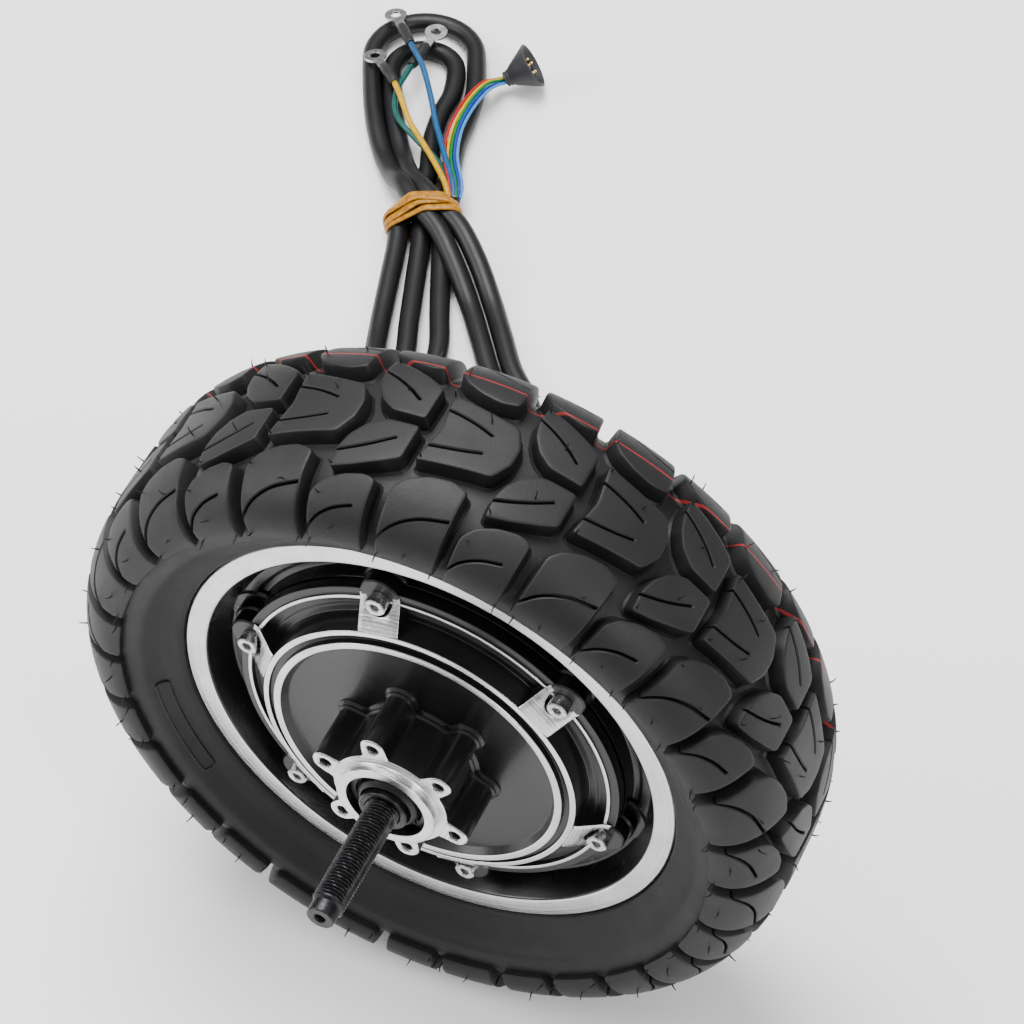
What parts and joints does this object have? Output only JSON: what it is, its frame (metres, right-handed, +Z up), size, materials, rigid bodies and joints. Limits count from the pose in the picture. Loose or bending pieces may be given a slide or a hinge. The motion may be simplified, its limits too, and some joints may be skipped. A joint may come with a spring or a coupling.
{
  "type": "hub motor wheel",
  "caption": "Scooter hub motor wheel: brushless outer-rotor motor in a rim with a knobbly tyre, threaded axle with flats, disc brake mount and a tied cable",
  "frame": {"origin": "centre of the wheel, where the axle's axis crosses the tyre's middle plane", "axes": "+Z up, +Y along the axle towards the cable side, -Y towards the brake disc side, +X to the right seen from the disc side"},
  "size_m": [0.3549, 0.5215, 0.254],
  "materials": {
    "tyre_rubber": "moulded off-road tread, matt",
    "rim_paint": "gloss black with a machined bright lip",
    "cover_paint": "satin black with machined bright rings, pads and disc mount",
    "plated_steel": "zinc plated",
    "screw_steel": "bright cap screws",
    "plain_steel": "bare",
    "bearing_steel": "polished",
    "magnet": "nickel plated",
    "black_steel": "black oxide",
    "bare_aluminium": "as cast",
    "copper": "enamelled copper wire",
    "circuit_board": "green solder resist",
    "black_plastic": "moulded",
    "seal_rubber": "nitrile",
    "boot_rubber": "dark grey moulded rubber",
    "cable_sheath": "satin black sheath",
    "band_rubber": "amber elastic band",
    "wire_silicone": "silicone insulated wires",
    "wire_yellow": "yellow insulation",
    "wire_green": "green insulation",
    "wire_blue": "blue insulation",
    "tinned_copper": "tin plated"
  },
  "bodies": {
    "axle_assembly": {"axle": "black_steel", "axle_key": "plain_steel", "axle_spacer": "black_steel", "stator_carrier": "bare_aluminium", "stator_core": "plain_steel", "stator_windings": "copper", "hall_board": "circuit_board", "hall_sensor_1": "black_plastic", "hall_sensor_2": "black_plastic", "hall_sensor_3": "black_plastic", "disc_side_bearing_inner_race": "bearing_steel", "cable_side_bearing_inner_race": "bearing_steel", "cable_grommet": "seal_rubber", "inner_wires": "wire_silicone", "cable_lead": "cable_sheath", "cable_hank": "cable_sheath", "rubber_band": "band_rubber", "phase_wire_yellow": "wire_yellow", "phase_wire_green": "wire_green", "phase_wire_blue": "wire_blue", "heat_shrink_yellow": "cable_sheath", "heat_shrink_green": "cable_sheath", "heat_shrink_blue": "cable_sheath", "ring_terminal_yellow": "tinned_copper", "ring_terminal_green": "tinned_copper", "ring_terminal_blue": "tinned_copper", "hall_wires": "wire_silicone", "hall_connector_boot": "boot_rubber", "hall_connector": "black_plastic"},
    "rotor": {"tyre": "tyre_rubber", "rim": "rim_paint", "valve_stem": "plated_steel", "valve_cap": "black_plastic", "rotor_ring": "plain_steel", "magnet_ring": "magnet", "disc_side_cover": "cover_paint", "cable_side_cover": "cover_paint", "disc_side_screw_1": "screw_steel", "disc_side_screw_2": "screw_steel", "disc_side_screw_3": "screw_steel", "disc_side_screw_4": "screw_steel", "disc_side_screw_5": "screw_steel", "disc_side_screw_6": "screw_steel", "cable_side_screw_1": "screw_steel", "cable_side_screw_2": "screw_steel", "cable_side_screw_3": "screw_steel", "cable_side_screw_4": "screw_steel", "cable_side_screw_5": "screw_steel", "cable_side_screw_6": "screw_steel", "disc_side_bearing_outer_race": "bearing_steel", "cable_side_bearing_outer_race": "bearing_steel", "disc_side_seal": "seal_rubber", "disc_side_circlip": "black_steel", "cable_side_seal": "seal_rubber"},
    "disc_side_ball_set": {"disc_side_bearing_balls": "bearing_steel"},
    "cable_side_ball_set": {"cable_side_bearing_balls": "bearing_steel"}
  },
  "joints": [
    {"name": "rotor_spin", "type": "hinge", "parent": "axle_assembly", "child": "rotor", "pos_m": [0, 0, 0], "axis": [0, 1, 0], "continuous": true},
    {"name": "disc_side_ball_spin", "type": "hinge", "parent": "axle_assembly", "child": "disc_side_ball_set", "pos_m": [0, -0.0407, 0], "axis": [0, 1, 0], "continuous": true},
    {"name": "cable_side_ball_spin", "type": "hinge", "parent": "axle_assembly", "child": "cable_side_ball_set", "pos_m": [0, 0.033, 0], "axis": [0, 1, 0], "continuous": true}
  ],
  "couplings": [
    {"joint": "disc_side_ball_spin", "follows": "rotor_spin", "ratio": 0.6},
    {"joint": "cable_side_ball_spin", "follows": "rotor_spin", "ratio": 0.59}
  ]
}
